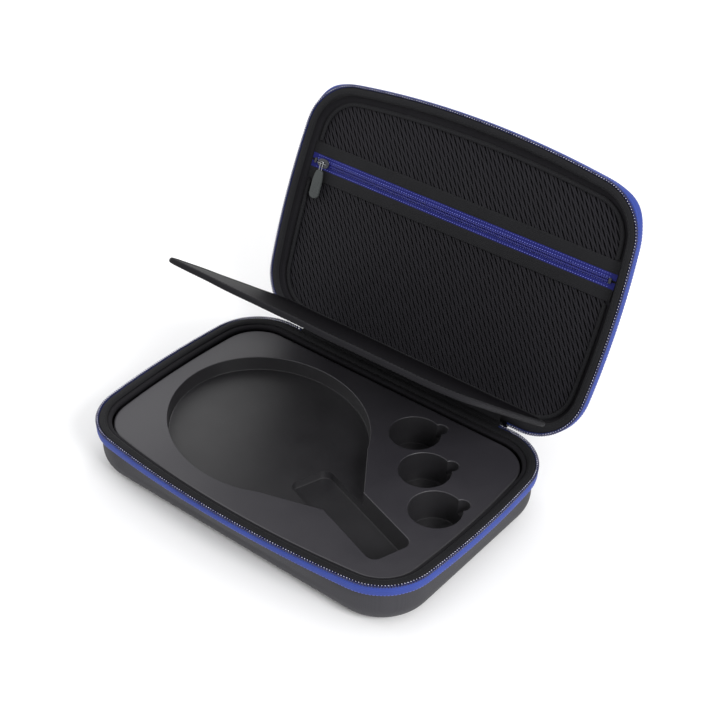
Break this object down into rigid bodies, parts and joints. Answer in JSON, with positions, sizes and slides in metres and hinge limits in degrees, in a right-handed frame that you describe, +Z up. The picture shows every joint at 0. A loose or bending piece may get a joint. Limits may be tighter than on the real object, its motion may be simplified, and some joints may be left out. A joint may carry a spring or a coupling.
{
  "type": "paddle case",
  "caption": "Zipped moulded case with a hinged lid, mesh pocket, divider flap and a foam tray cut for a bat and balls.",
  "frame": {"origin": "on the base's flat bottom, midway between the rim's hinge edge and the front of its bow", "axes": "+X along the hinge to the right, +Y towards the hinge edge, +Z up"},
  "size_m": [0.32, 0.3216, 0.2356],
  "materials": {
    "shell_fabric": "fine charcoal nylon weave laminated over moulded EVA",
    "lining": "smooth black jersey lining",
    "foam": "closed-cell foam, fine cells, matt",
    "zipper_tape": "royal blue woven polyester tape",
    "zipper_teeth": "dark blue nylon coil with white glints",
    "binding": "black woven binding",
    "mesh": "black knitted mesh",
    "flap_fabric": "dark grey padded cloth",
    "board": "stiffening board",
    "zip_metal": "nickel-plated wire and stops",
    "slider_metal": "dark painted zinc",
    "pull_rubber": "soft grey moulded rubber"
  },
  "bodies": {
    "base": {"base_shell": "shell_fabric", "base_lining": "lining", "foam_insert": "foam", "foam_base_pad": "foam", "base_zipper_tape": "zipper_tape", "base_zipper_teeth": "zipper_teeth", "base_zipper_stops": "zip_metal", "base_rim_binding": "binding", "base_hinge_tape": "binding"},
    "lid": {"lid_shell": "shell_fabric", "lid_lining": "lining", "lid_zipper_tape": "zipper_tape", "lid_zipper_teeth": "zipper_teeth", "lid_zipper_stops": "zip_metal", "lid_rim_binding": "binding", "lid_hinge_tape": "binding", "pocket_border": "lining", "pocket_binding": "binding", "pocket_mesh_upper": "mesh", "pocket_mesh_lower": "mesh", "pocket_tape_upper": "zipper_tape", "pocket_tape_lower": "zipper_tape", "pocket_teeth_upper": "zipper_teeth", "pocket_teeth_lower": "zipper_teeth", "pocket_webbing_upper": "binding", "pocket_webbing_lower": "binding", "pocket_zip_stops": "zip_metal"},
    "flap_strip": {"flap_hinge_strip": "binding"},
    "flap": {"flap_board": "board", "flap_cover_front": "flap_fabric", "flap_cover_back": "flap_fabric", "flap_binding": "binding"},
    "pocket_slider": {"pocket_slider": "slider_metal"},
    "pocket_pull": {"pocket_pull_link": "zip_metal", "pocket_puller": "pull_rubber"},
    "main_slider": {"main_slider": "slider_metal"},
    "main_pull": {"main_pull_link": "zip_metal", "main_puller": "pull_rubber"}
  },
  "joints": [
    {"name": "lid_hinge", "type": "hinge", "parent": "base", "child": "lid", "pos_m": [0, 0.1097, 0.03785], "axis": [1, 0, 0], "range_deg": [-67, 113]},
    {"name": "flap_strip_hinge", "type": "hinge", "parent": "base", "child": "flap_strip", "pos_m": [0, 0.1105, 0.044], "axis": [1, 0, 0], "range_deg": [-61.8, 104.1]},
    {"name": "flap_hinge", "type": "hinge", "parent": "flap_strip", "child": "flap", "pos_m": [0, 0.11413, 0.05855], "axis": [1, 0, 0], "range_deg": [-65.3, 38.8]},
    {"name": "pocket_slider_slide", "type": "slide", "parent": "lid", "child": "pocket_slider", "axis": [1, 0, 0], "range_m": [0, 0.268]},
    {"name": "pocket_pull_swing", "type": "hinge", "parent": "pocket_slider", "child": "pocket_pull", "pos_m": [-0.134, 0.17322, 0.16048], "axis": [0, 0.9205, -0.3907], "range_deg": [-22, 22]},
    {"name": "main_slider_slide", "type": "slide", "parent": "base", "child": "main_slider", "axis": [1, 0, 0], "range_m": [0, 0.009]},
    {"name": "main_pull_swing", "type": "hinge", "parent": "main_slider", "child": "main_pull", "pos_m": [0.106, 0.1101, 0.0368], "axis": [0, 1, 0], "range_deg": [-50, 8]}
  ],
  "couplings": [
    {"joint": "flap_strip_hinge", "follows": "lid_hinge", "ratio": 0.92035},
    {"joint": "flap_hinge", "follows": "lid_hinge", "ratio": -0.57699}
  ]
}
